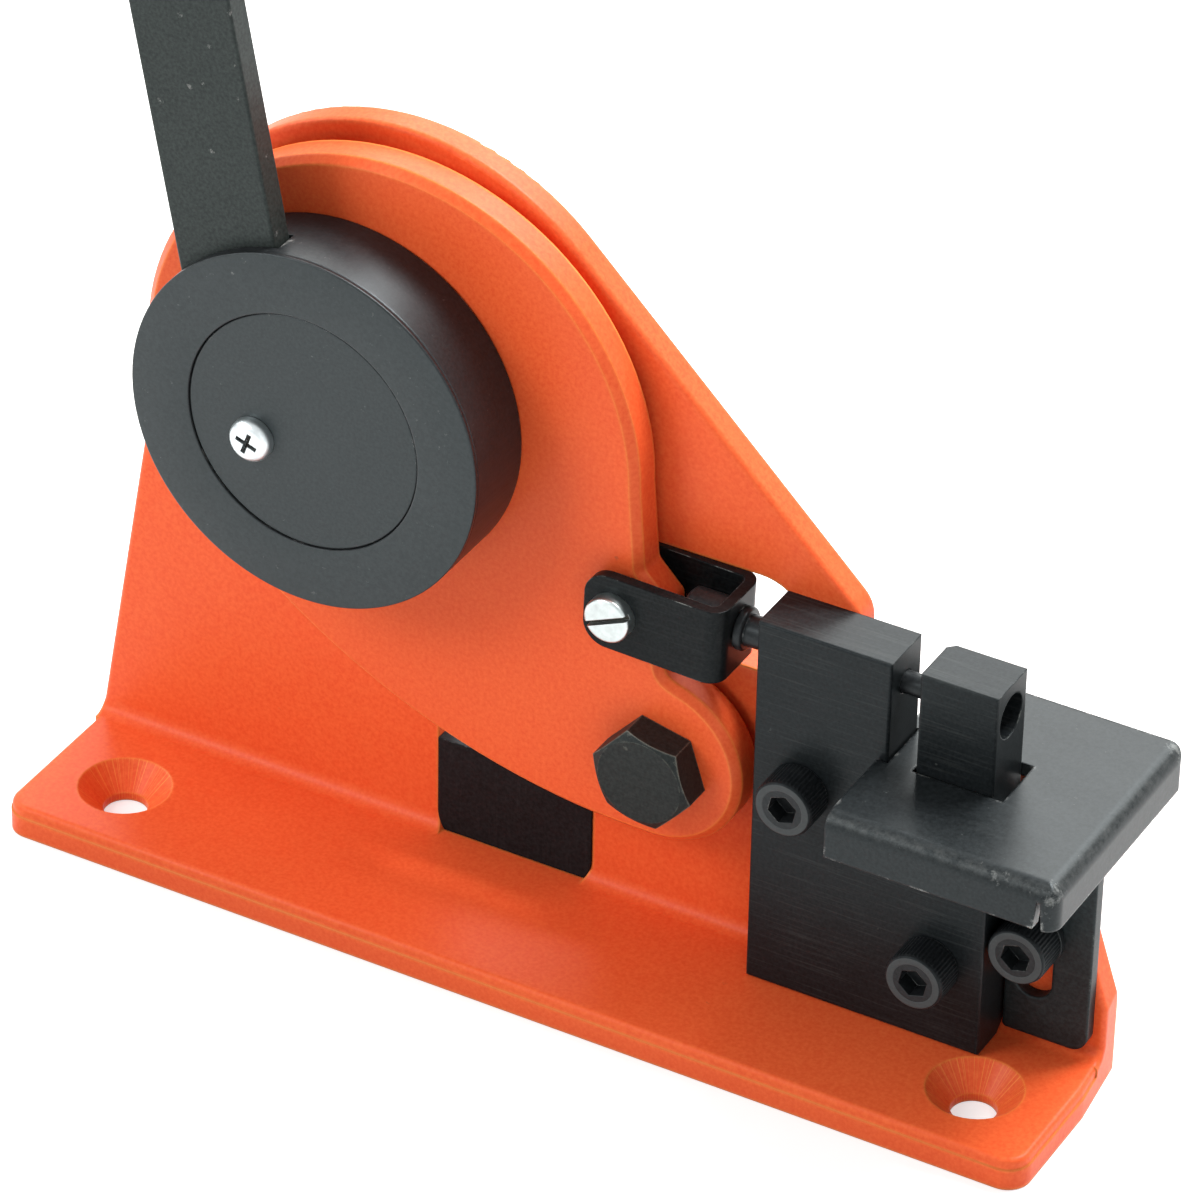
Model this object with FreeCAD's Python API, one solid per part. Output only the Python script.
import FreeCAD, Part
import math
import os
from FreeCAD import Rotation, Vector

# Bench lever punch and bar shear, one STEP file per sub-part, millimetres.
# Origin: on the underside of the base, midway between the two bench holes.
# X runs along the base to the punch end, Y to the back, Z up.
# A turn that a lever or arm makes is seen from the front, where X points right.

os.makedirs("parts", exist_ok=True)

# ------------------------------------------------------------- driving dimensions
# Base casting: a flange and an upright web in an L.
FLANGE_LENGTH = 250.0
FLANGE_THICKNESS = 7.5
FLANGE_FRONT = 19.0           # bench hole line to the front edge
FLANGE_CORNER_R = 5.5
FLANGE_END_TAPER = 2.0        # right end, drawn in towards the web
FLANGE_TAPER_START_Y = 11.0
FLANGE_PARTING_Z = 5.0        # where the two halves of the mould met
FLANGE_PARTING_STEP = 0.35
BENCH_HOLE_INSET = 20.0       # from the end of the flange
BENCH_HOLE_D = 10.0
BENCH_COUNTERSINK_D = 21.0
WEB_FACE_Y = 22.5             # bench hole line to the front face of the web
WEB_THICKNESS = 7.0
WEB_FOOT_FILLET = 3.5
WEB_CROWN_R = 58.6            # round top of the web, over the lever pivot
WEB_CROWN_PEAK_Z = 242.2      # where the two sloping sides would meet
WEB_CROWN_PEAK_BACK = 20.4    # to the left of the lever pivot
WEB_FOOT_OVERHANG = 1.7       # where the left side would meet the bench, past the flange
WEB_RIGHT_SLOPE = 44.0        # degrees below level
WEB_STEP_INSET = 62.4         # right end of the flange to the drop behind the punch block
WEB_SHOULDER_Z = 68.0
WEB_SHOULDER_INSET = 17.5
WEB_CORNER_R = 8.0            # top and end of the drop, and the shoulder
WEB_STEP_R = 5.0              # inside corner at the foot of the drop
WEB_TOE_OVERHANG = 2.6        # where the sloping end would meet the flange, past its end
CASTING_EDGE_R = 1.2

# Lever pivot and arm bolt, both square to the web. Insets are from the right end of the flange.
PIVOT_INSET = 190.8
PIVOT_Z = 116.2
ARM_BOLT_INSET = 103.6
ARM_BOLT_Z = 52.5

# Swing arm
ARM_THICKNESS = 8.0
ARM_RIM_R = 60.0
ARM_RIM_SHIFT_X = 20.8        # middle of the rim from the lever pivot
ARM_RIM_SHIFT_Z = 1.8
ARM_LOBE_R = 20.6
ARM_LOBE_SHIFT_X = -1.0       # middle of the lobe from the bolt
ARM_LOBE_SHIFT_Z = 0.6
ARM_LOWER_EDGE_R = 150.0
ARM_RIM_END_X = 1.5           # end of the rim to the upright side of the lug
ARM_LUG_REACH = 9.9           # clevis screw to the tip of the lug
ARM_LUG_TOP = 8.5             # and up to its corner, its tip and its lower corner
ARM_LUG_TIP_TOP = 2.2
ARM_LUG_TIP_LOW = 10.0
ARM_LOBE_START = 76.0         # degrees above X, where the lobe's arc begins
ARM_WAIST_BACK = 5.8          # start of the lobe's arc to the waist under the lug
ARM_WAIST_RISE = 2.2
ARM_LUG_R = 2.6
ARM_WAIST_R = 4.0
ARM_RIM_BEVEL = 1.8

# Eccentric and lever hub
ECCENTRIC_OFFSET = 12.9
ECCENTRIC_ANGLE = 22.8        # degrees above X with the lever up
ECCENTRIC_R = 27.8
LEVER_TRAVEL = 100.0          # degrees, lever up to lever down on the right
HUB_R = 41.8
HUB_THICKNESS = 18.5
HUB_TO_ARM_GAP = 0.4
HUB_EDGE_R = 1.0
ECCENTRIC_SLOT_CLEARANCE = 1.6
ECCENTRIC_CHAMFER = 0.4
ECCENTRIC_TO_WEB_GAP = 0.3

# Lever bar
LEVER_LENGTH = 450.0          # pivot axis to the top of the bar
LEVER_WIDTH = 25.0
LEVER_THICKNESS = 6.0
LEVER_LEAN = 10.7             # degrees to the left of upright
LEVER_SEAT = 18.0             # pivot axis to the lower end of the bar
LEVER_FRONT_WALL = 2.5        # hub face to the bar
LEVER_HUB_SLOT_CLEARANCE = 0.9
LEVER_CORNER_R = 4.0
LEVER_SEAT_CORNER_R = 0.5
LEVER_EDGE_R = 0.6
LEVER_PIN_D = 6.0
LEVER_PIN_REACH = 34.0        # pivot axis to the pin
LEVER_PIN_WALL = 1.2
LEVER_PIN_SLIT = 1.0
LEVER_PIN_RECESS = 0.5        # pin below the back of the hub

# Pivot shaft and its fastenings
SHAFT_D = 20.0
SHAFT_NOSE_D = 8.0
SHAFT_NOSE_LENGTH = 3.0
SHAFT_SPIGOT_D = 16.0
SHAFT_NUT_AF = 24.0
SHAFT_NUT_HEIGHT = 8.0
SHAFT_WASHER_D = 30.0
SHAFT_WASHER_THICKNESS = 3.0
PIVOT_SCREW_D = 5.0
PIVOT_SCREW_HEAD_D = 9.8
PIVOT_SCREW_HEAD_HEIGHT = 3.2
PIVOT_SCREW_LENGTH = 14.0
PIVOT_SCREW_DOME_R = 2.0
PIVOT_SCREW_CROSS_LENGTH = 5.2
PIVOT_SCREW_CROSS_WIDTH = 1.1
PIVOT_SCREW_CROSS_DEPTH = 1.8
PIVOT_SCREW_CROSS_TURN = 20.0

# Arm bolt and its fastenings
BOLT_D = 12.0
BOLT_HEAD_AF = 20.8
BOLT_HEAD_HEIGHT = 7.8
BOLT_HEAD_TURN = -18.0
BOLT_NUT_AF = 19.0
BOLT_NUT_HEIGHT = 10.0
BOLT_WASHER_D = 24.0
BOLT_WASHER_THICKNESS = 2.5
THREAD_BEYOND_NUT = 2.0       # end of a shaft or bolt past its nut
THREAD_END_CHAMFER = 1.0
HEX_FACE_SHARE = 0.95         # round face of a nut or bolt head, of its width across flats
HEX_CHAMFER_ANGLE = 30.0
BUSH_D = 16.0
BUSH_FLANGE_D = 26.0

# Clevis between the arm and the punch
CLEVIS_PIN_RISE = 38.2        # arm bolt to the clevis screw, upwards
CLEVIS_PIN_BACK = 8.6         # and to the left
CLEVIS_SHEET = 2.5
CLEVIS_HEIGHT = 17.8
CLEVIS_REACH = 25.3           # clevis screw to the outer face of the base
CLEVIS_TAIL = 6.9             # clevis screw to the free end of the strip
CLEVIS_END_R = 5.5
CLEVIS_TILT = 1.7             # degrees nose down
CLEVIS_SIDE_CLEARANCE = 2.6
CLEVIS_BEND_R = 4.0
CLEVIS_HOLE_PLAY = 1.1        # the punch in its hole, up and down
CLEVIS_SCREW_D = 6.0
CLEVIS_SCREW_HEAD_D = 10.5
CLEVIS_SCREW_HEAD_HEIGHT = 3.2
CLEVIS_SCREW_EDGE_R = 0.7
CLEVIS_SCREW_SLOT_WIDTH = 1.2
CLEVIS_SCREW_SLOT_DEPTH = 1.5
CLEVIS_SCREW_SLOT_TURN = -24.0
CLEVIS_SCREW_TAIL = 0.5       # past its nut
CLEVIS_NUT_AF = 10.0
CLEVIS_NUT_HEIGHT = 3.2
WEB_WINDOW_HEIGHT = 24.0      # window in the web for the clevis
WEB_WINDOW_DROP = 2.1         # clevis screw to the middle of the window
WEB_WINDOW_LEFT_REACH = 24.8  # clevis screw to the ends of the window
WEB_WINDOW_RIGHT_REACH = 38.2

# Punch, punch block and die
BLOCK_LEFT_INSET = 79.5
BLOCK_THICKNESS = 13.2
BLOCK_TOP_Z = 99.0
BLOCK_FOOT_GAP = 0.3
BLOCK_EDGE_R = 0.6
GUIDE_POST_WIDTH = 31.0
WORK_GAP = 6.5
DIE_POST_WIDTH = 17.7
WORK_GAP_FLOOR_Z = 58.0
DIE_POST_CORNER = 1.6
PUNCH_Z = 91.2
PUNCH_BODY_D = 7.0
PUNCH_TIP_D = 5.0
PUNCH_TAIL_D = 6.0
PUNCH_COLLAR_D = 9.6
PUNCH_COLLAR_LENGTH = 1.8
PUNCH_TIP_LENGTH = 13.0
PUNCH_ENTRY = 0.3             # tip inside the die with the lever up
PUNCH_COLLAR_CHAMFER = 0.4
PUNCH_TAIL_BEYOND_NUT = 1.0
PUNCH_TAIL_CHAMFER = 0.6
PUNCH_NUT_D = 11.0            # round nut on the tail, inside the clevis
PUNCH_NUT_LENGTH = 8.8
PUNCH_CLEVIS_GAP = 0.5        # collar and nut to the clevis
DIE_D = 10.0
DIE_LENGTH = 10.0
DIE_LAND = 3.5                # cutting land, then the hole opens for the slugs
DIE_RELIEF = 0.7
DIE_CLEARANCE = 0.1           # punch tip to die hole, radial
BLOCK_SCREW_1_SHIFT = 11.2    # left side of the block to its screws
BLOCK_SCREW_1_Z = 60.2
BLOCK_SCREW_2_SHIFT = 43.2
BLOCK_SCREW_2_Z = 27.6

# Cap screws that hold the punch block and the table
CAP_SCREW_D = 8.0
CAP_HEAD_D = 13.0
CAP_HEAD_HEIGHT = 8.0
CAP_SOCKET_AF = 6.0
CAP_SOCKET_DEPTH = 4.0
CAP_SOCKET_TURN = 12.0
CAP_EDGE_R = 0.8
CAP_SCREW_END_RECESS = 0.3    # screw ends below the back of the web
TABLE_WASHER_D = 13.6
TABLE_WASHER_THICKNESS = 1.6

# Work table
TABLE_TOP_Z = 75.0
TABLE_SHEET = 3.0
TABLE_POST_CLEARANCE = 0.3    # to the guide post, inside the work gap
TABLE_OVERHANG = 1.8          # past the right end of the flange
TABLE_FRONT_Y = -14.0
TABLE_BACK_Y = 46.0
TABLE_LEFT_OVERLAP = 2.2      # table in front of the guide post, past the work gap
TABLE_LIP_DEPTH = 10.5
TABLE_BEND_R = 3.5
TABLE_BACK_CORNER_R = 2.0
TABLE_CORNER_SLIT = 2.0       # V between the two lips, at its mouth and at its root
TABLE_CORNER_SLIT_ROOT = 0.7
TABLE_CUTOUT_CLEARANCE = 0.5
TABLE_CUTOUT_RIGHT_ROOM = 2.6
TABLE_NOTCH_DEPTH = 4.0       # in the bracket, under the cutout
BRACKET_CLEARANCE = 0.7       # to the die post
BRACKET_RIGHT_INSET = 4.0
BRACKET_FOOT_Z = 9.6
BRACKET_CORNER_R = 4.0
BRACKET_INNER_CORNER_R = 1.0
TABLE_SCREW_INSET = 17.2
TABLE_SCREW_Z = 36.0
TABLE_RISE = 10.0             # travel of the table above its lowest place
TABLE_SLOT_WIDTH = 8.8
TABLE_SLOT_SPARE = 2.0        # slot left over at each end of the travel

# Shear blades
SHEAR_PLANE_Y = 22.1          # front face of the lower blade
SHEAR_CLEARANCE = 0.1
LOWER_BLADE_TOP_Z = 31.5
BLADE_WINDOW_LEFT_BACK = 59.4  # arm bolt back to the sides of the window
BLADE_WINDOW_RIGHT_BACK = 20.9
BLADE_WINDOW_FLOOR_Z = 3.5
BLADE_WINDOW_TOP_Z = 48.0
BLADE_WINDOW_CORNER_R = 9.0
BLADE_SIDE_CLEARANCE = 0.1
LOWER_BLADE_BACK_OVERHANG = 1.5
SPRING_PIN_D = 4.0
SPRING_PIN_LENGTH = 14.0
SPRING_PIN_SPACING = 18.0
SPRING_PIN_WALL = 0.8
SPRING_PIN_SLIT = 0.8
SPRING_PIN_RECESS = 0.5       # pins above the underside of the flange
SPRING_PIN_HOLE_SPARE = 0.5   # hole past the end of the pin
UPPER_BLADE_THICKNESS = 5.0
UPPER_BLADE_HEIGHT = 14.0
UPPER_BLADE_LENGTH = 36.0
UPPER_BLADE_CORNER_BACK = 22.9  # arm bolt back to the right end of the cutting edge
UPPER_BLADE_EDGE_Z = 36.0
UPPER_BLADE_SLOPE = 10.8      # degrees, cutting edge down to the right
BLADE_SCREW_D = 5.0
BLADE_SCREW_HEAD_D = 9.0
BLADE_SCREW_SPACING = 20.0
BLADE_SCREW_RISE = 7.7         # cutting edge to the screws
BLADE_SOCKET_AF = 3.0
BLADE_SOCKET_DEPTH = 1.8
BLADE_SCREW_RECESS = 0.2       # screw heads below the back face of the blade
BLADE_SCREW_TIP_WALL = 2.5     # arm left in front of the screw tips
BLADE_SCREW_HOLE_SPARE = 0.5

# Clearances
RUNNING = 0.05                # radial, turning and sliding fits
THREAD = 0.02                 # radial, screws in tapped holes and pins in reamed ones
SCREW_HOLE = 0.25             # radial, plain holes for screws
FACE = 0.1                    # between faces that slide on each other
FOOT_CLEARANCE = 0.5          # pieces that stand at the foot of the web to its fillet

# ------------------------------------------------------------- derived places
FLANGE_END_X = FLANGE_LENGTH / 2
PIVOT_X = FLANGE_END_X - PIVOT_INSET
ARM_BOLT_X = FLANGE_END_X - ARM_BOLT_INSET
WEB_CROWN_PEAK_X = PIVOT_X - WEB_CROWN_PEAK_BACK
WEB_STEP_X = FLANGE_END_X - WEB_STEP_INSET
WEB_SHOULDER_X = FLANGE_END_X - WEB_SHOULDER_INSET
ARM_RIM_X = PIVOT_X + ARM_RIM_SHIFT_X
ARM_RIM_Z = PIVOT_Z + ARM_RIM_SHIFT_Z
BLADE_WINDOW_LEFT_X = ARM_BOLT_X - BLADE_WINDOW_LEFT_BACK
BLADE_WINDOW_RIGHT_X = ARM_BOLT_X - BLADE_WINDOW_RIGHT_BACK
UPPER_BLADE_CORNER_X = ARM_BOLT_X - UPPER_BLADE_CORNER_BACK
WEB_BACK_Y = WEB_FACE_Y + WEB_THICKNESS
BLOCK_FACE_Y = WEB_FACE_Y - BLOCK_THICKNESS
WORK_Y = WEB_FACE_Y - BLOCK_THICKNESS / 2            # mid-plane of punch, clevis and arm
ARM_FACE_Y = WORK_Y - ARM_THICKNESS / 2
ARM_BACK_Y = WORK_Y + ARM_THICKNESS / 2
HUB_BACK_Y = ARM_FACE_Y - HUB_TO_ARM_GAP
HUB_FACE_Y = HUB_BACK_Y - HUB_THICKNESS
LEVER_FACE_Y = HUB_FACE_Y + LEVER_FRONT_WALL
LEVER_BACK_Y = LEVER_FACE_Y + LEVER_THICKNESS
BUSH_FRONT_Y = ARM_FACE_Y - FACE
CLEVIS_PIN_X = ARM_BOLT_X - CLEVIS_PIN_BACK
CLEVIS_PIN_Z = ARM_BOLT_Z + CLEVIS_PIN_RISE
CLEVIS_INNER_HALF = ARM_THICKNESS / 2 + CLEVIS_SIDE_CLEARANCE
CLEVIS_OUTER_HALF = CLEVIS_INNER_HALF + CLEVIS_SHEET
CLEVIS_FACE_Y = WORK_Y - CLEVIS_OUTER_HALF
CLEVIS_BACK_Y = WORK_Y + CLEVIS_OUTER_HALF
CLEVIS_BASE_X = CLEVIS_PIN_X + CLEVIS_REACH
BLOCK_LEFT_X = FLANGE_END_X - BLOCK_LEFT_INSET
BLOCK_SCREW_1_X = BLOCK_LEFT_X + BLOCK_SCREW_1_SHIFT
BLOCK_SCREW_2_X = BLOCK_LEFT_X + BLOCK_SCREW_2_SHIFT
GAP_LEFT_X = BLOCK_LEFT_X + GUIDE_POST_WIDTH
GAP_RIGHT_X = GAP_LEFT_X + WORK_GAP
BLOCK_RIGHT_X = GAP_RIGHT_X + DIE_POST_WIDTH
BLOCK_FOOT_Z = FLANGE_THICKNESS + BLOCK_FOOT_GAP
WEB_WINDOW_Z = CLEVIS_PIN_Z - WEB_WINDOW_DROP
WEB_WINDOW_LEFT_X = CLEVIS_PIN_X - WEB_WINDOW_LEFT_REACH
WEB_WINDOW_RIGHT_X = CLEVIS_PIN_X + WEB_WINDOW_RIGHT_REACH
TABLE_NECK_X = GAP_LEFT_X + TABLE_POST_CLEARANCE
TABLE_LEFT_X = GAP_LEFT_X - TABLE_LEFT_OVERLAP
TABLE_RIGHT_X = FLANGE_END_X + TABLE_OVERHANG
TABLE_SCREW_X = FLANGE_END_X - TABLE_SCREW_INSET
BRACKET_RIGHT_X = FLANGE_END_X - BRACKET_RIGHT_INSET
TABLE_UNDER_Z = TABLE_TOP_Z - TABLE_SHEET
BRACKET_FACE_Y = WEB_FACE_Y - TABLE_SHEET


def turn_xz(x, z, degrees):
    """Turn a direction in the XZ plane, positive clockwise seen from the front."""
    a = math.radians(degrees)
    return x * math.cos(a) + z * math.sin(a), -x * math.sin(a) + z * math.cos(a)


def eccentric_centre(turn):
    """Centre of the eccentric once the lever has turned by this many degrees."""
    x, z = turn_xz(ECCENTRIC_OFFSET, 0.0, turn - ECCENTRIC_ANGLE)
    return PIVOT_X + x, PIVOT_Z + z


def bolt_distance(point):
    return math.hypot(point[0] - ARM_BOLT_X, point[1] - ARM_BOLT_Z)


HUB_X, HUB_Z = eccentric_centre(0.0)


# ------------------------------------------------------------- shape helpers
def rounded_edges(corners, closed=True):
    """Straight edges through (a, b, radius) corners, each corner an arc, in a plane."""
    count = len(corners)
    runs = []
    for i, (a, b, r) in enumerate(corners):
        here = Vector(a, b, 0)
        if r <= 0 or (not closed and i in (0, count - 1)):
            runs.append((here, None, here))
            continue
        before = Vector(corners[i - 1][0], corners[i - 1][1], 0)
        after = Vector(corners[(i + 1) % count][0], corners[(i + 1) % count][1], 0)
        u = (before - here).normalize()
        v = (after - here).normalize()
        half = u.getAngle(v) / 2
        bisector = (u + v).normalize()
        start = here + u * (r / math.tan(half))
        end = here + v * (r / math.tan(half))
        middle = here + bisector * (r / math.sin(half) - r)
        runs.append((start, middle, end))
    edges = []
    for i, (start, middle, end) in enumerate(runs):
        if middle is not None:
            edges.append(Part.Arc(start, middle, end).toShape())
        if i == count - 1 and not closed:
            break
        following = runs[(i + 1) % count][0]
        if (following - end).Length > 1e-6:
            edges.append(Part.LineSegment(end, following).toShape())
    return edges


def plate_y(edges, y0, y1):
    """Plate from a closed outline drawn in (X, Z), between two Y planes."""
    face = Part.Face(Part.Wire(Part.__sortEdges__(edges)))
    face.rotate(Vector(0, 0, 0), Vector(1, 0, 0), 90)
    face.translate(Vector(0, y0, 0))
    return face.extrude(Vector(0, y1 - y0, 0))


def plate_x(edges, x0, x1):
    """Plate from a closed outline drawn in (Y, Z), between two X planes."""
    face = Part.Face(Part.Wire(Part.__sortEdges__(edges)))
    face.rotate(Vector(0, 0, 0), Vector(1, 1, 1), 120)
    face.translate(Vector(x0, 0, 0))
    return face.extrude(Vector(x1 - x0, 0, 0))


def plate_z(edges, z0, z1):
    """Plate from a closed outline drawn in (X, Y), between two Z planes."""
    face = Part.Face(Part.Wire(Part.__sortEdges__(edges)))
    face.translate(Vector(0, 0, z0))
    return face.extrude(Vector(0, 0, z1 - z0))


def rod_y(x, z, d, y0, y1):
    return Part.makeCylinder(d / 2, y1 - y0, Vector(x, y0, z), Vector(0, 1, 0))


def rod_x(y, z, d, x0, x1):
    return Part.makeCylinder(d / 2, x1 - x0, Vector(x0, y, z), Vector(1, 0, 0))


def rod_z(x, y, d, z0, z1):
    return Part.makeCylinder(d / 2, z1 - z0, Vector(x, y, z0), Vector(0, 0, 1))


def cone_y(x, z, d0, d1, y0, y1):
    return Part.makeCone(d0 / 2, d1 / 2, y1 - y0, Vector(x, y0, z), Vector(0, 1, 0))


def box(x0, x1, y0, y1, z0, z1):
    return Part.makeBox(x1 - x0, y1 - y0, z1 - z0, Vector(x0, y0, z0))


def slot_y(x0, z0, x1, z1, width, y0, y1):
    """Round-ended bar between two centres, along Y."""
    length = math.hypot(x1 - x0, z1 - z0)
    angle = math.degrees(math.atan2(z1 - z0, x1 - x0))
    r = width / 2
    corners = [(-r, -r, r - 0.001), (length + r, -r, r - 0.001)]
    corners += [(length + r, r, r - 0.001), (-r, r, r - 0.001)]
    shape = plate_y(rounded_edges(corners), y0, y1)
    shape.rotate(Vector(0, 0, 0), Vector(0, 1, 0), -angle)
    shape.translate(Vector(x0, 0, z0))
    return shape


def hexagon_y(x, z, across_flats, y0, y1, turn=0.0):
    """Hexagonal prism along Y; at turn 0 two corners point up and down."""
    corners = []
    for k in range(6):
        a = math.radians(90 + 60 * k - turn)
        reach = across_flats / math.sqrt(3)
        corners.append((x + reach * math.cos(a), z + reach * math.sin(a), 0))
    return plate_y(rounded_edges(corners), y0, y1)


def chamfered_hexagon_y(x, z, across_flats, y0, y1, turn=0.0, front=True, back=False):
    """Nut or bolt head, its corners turned off to a round face."""
    corner = across_flats / math.sqrt(3)
    face_r = HEX_FACE_SHARE * across_flats / 2
    drop = (corner - face_r) * math.tan(math.radians(HEX_CHAMFER_ANGLE))
    profile = [(0, y0), (face_r if front else corner, y0)]
    profile += [(corner, y0 + drop if front else y0), (corner, y1 - drop if back else y1)]
    profile += [(face_r if back else corner, y1), (0, y1)]
    points = [Vector(x + r, y, z) for r, y in profile]
    points = [p for i, p in enumerate(points) if (p - points[i - 1]).Length > 1e-6]
    turned = Part.Face(Part.makePolygon(points + points[:1]))
    turned = turned.revolve(Vector(x, 0, z), Vector(0, 1, 0), 360)
    return hexagon_y(x, z, across_flats, y0, y1, turn).common(turned)


def turned_x(profile, y, z):
    """Solid of revolution about X from (x, radius) pairs."""
    points = [Vector(x, y, z + r) for x, r in profile]
    face = Part.Face(Part.makePolygon(points + points[:1]))
    return face.revolve(Vector(0, y, z), Vector(1, 0, 0), 360)


def soften(shape, radius, chosen):
    """Fillet the edges that the test picks."""
    edges = [e for e in shape.Edges if chosen(e)]
    return shape.makeFillet(radius, edges)


def lies_at_y(edge, y):
    return all(abs(v.Y - y) < 1e-4 for v in edge.Vertexes) and abs(edge.CenterOfMass.y - y) < 1e-4


def save(shape, name):
    shape.exportStep("parts/" + name + ".step")
    solids = len(shape.Solids)
    print(f"{name:22s} solids {solids}  volume {shape.Volume / 1000:9.3f} cm3  valid {shape.isValid()}")


# ------------------------------------------------------------- fasteners
def cap_screw(x, z, seat_y, length):
    """Socket cap screw with its head in front of seat_y and its shank behind."""
    head_front = seat_y - CAP_HEAD_HEIGHT
    head = rod_y(x, z, CAP_HEAD_D, head_front, seat_y)
    head = soften(head, CAP_EDGE_R, lambda e: lies_at_y(e, head_front))
    screw = head.fuse(rod_y(x, z, CAP_SCREW_D, seat_y - 1, seat_y + length))
    socket = hexagon_y(x, z, CAP_SOCKET_AF, head_front - 1, head_front + CAP_SOCKET_DEPTH, CAP_SOCKET_TURN)
    return screw.cut(socket).removeSplitter()


def washer(x, z, inner_d, outer_d, y0, y1):
    return rod_y(x, z, outer_d, y0, y1).cut(rod_y(x, z, inner_d, y0 - 1, y1 + 1))


def nut(x, z, thread_d, across_flats, y0, y1):
    blank = chamfered_hexagon_y(x, z, across_flats, y0, y1, 0.0, True, True)
    return blank.cut(rod_y(x, z, thread_d + 2 * THREAD, y0 - 1, y1 + 1))


# ------------------------------------------------------------- base casting
def web_outline():
    """Leaning left side, round crown, slope, drop, shoulder and sloping end."""
    slope = math.tan(math.radians(WEB_RIGHT_SLOPE))
    foot_x = -FLANGE_END_X - WEB_FOOT_OVERHANG
    toe_x = FLANGE_END_X + WEB_TOE_OVERHANG
    step_z = WEB_CROWN_PEAK_Z - slope * (WEB_STEP_X - WEB_CROWN_PEAK_X)
    run_out = (toe_x - WEB_SHOULDER_X) / (WEB_SHOULDER_Z - FLANGE_THICKNESS)
    corners = [(foot_x, 0, 0), (WEB_CROWN_PEAK_X, WEB_CROWN_PEAK_Z, WEB_CROWN_R)]
    corners += [(WEB_STEP_X, step_z, WEB_CORNER_R), (WEB_STEP_X, WEB_SHOULDER_Z, WEB_STEP_R)]
    corners += [(WEB_SHOULDER_X, WEB_SHOULDER_Z, WEB_CORNER_R)]
    corners += [(toe_x + run_out * FLANGE_THICKNESS, 0, 0)]
    return rounded_edges(corners)


def flange_plan(inset, z0, z1):
    """Flange seen from above, drawn in all round by the inset."""
    half = FLANGE_END_X - inset
    front = -FLANGE_FRONT + inset
    corner_r = FLANGE_CORNER_R - inset
    corners = [(-half, front, corner_r), (half, front, corner_r), (half, FLANGE_TAPER_START_Y, 0)]
    corners += [(half - FLANGE_END_TAPER, WEB_BACK_Y, 0), (-half, WEB_BACK_Y, 0)]
    return plate_z(rounded_edges(corners), z0, z1)


def flange_rim_cut():
    """What the upper half of the mould leaves off: a small step all round and a soft top edge."""
    top_z = FLANGE_THICKNESS

    def top_edge(e):
        high = all(abs(v.Z - top_z) < 1e-4 for v in e.Vertexes)
        return high and e.CenterOfMass.y < WEB_BACK_Y - 1

    cap = soften(flange_plan(FLANGE_PARTING_STEP, FLANGE_PARTING_Z, top_z), CASTING_EDGE_R, top_edge)
    half = FLANGE_END_X + 1
    behind = WEB_FACE_Y - WEB_FOOT_FILLET
    return box(-half, half, -FLANGE_FRONT - 1, behind, FLANGE_PARTING_Z, top_z + 1).cut(cap)


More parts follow.
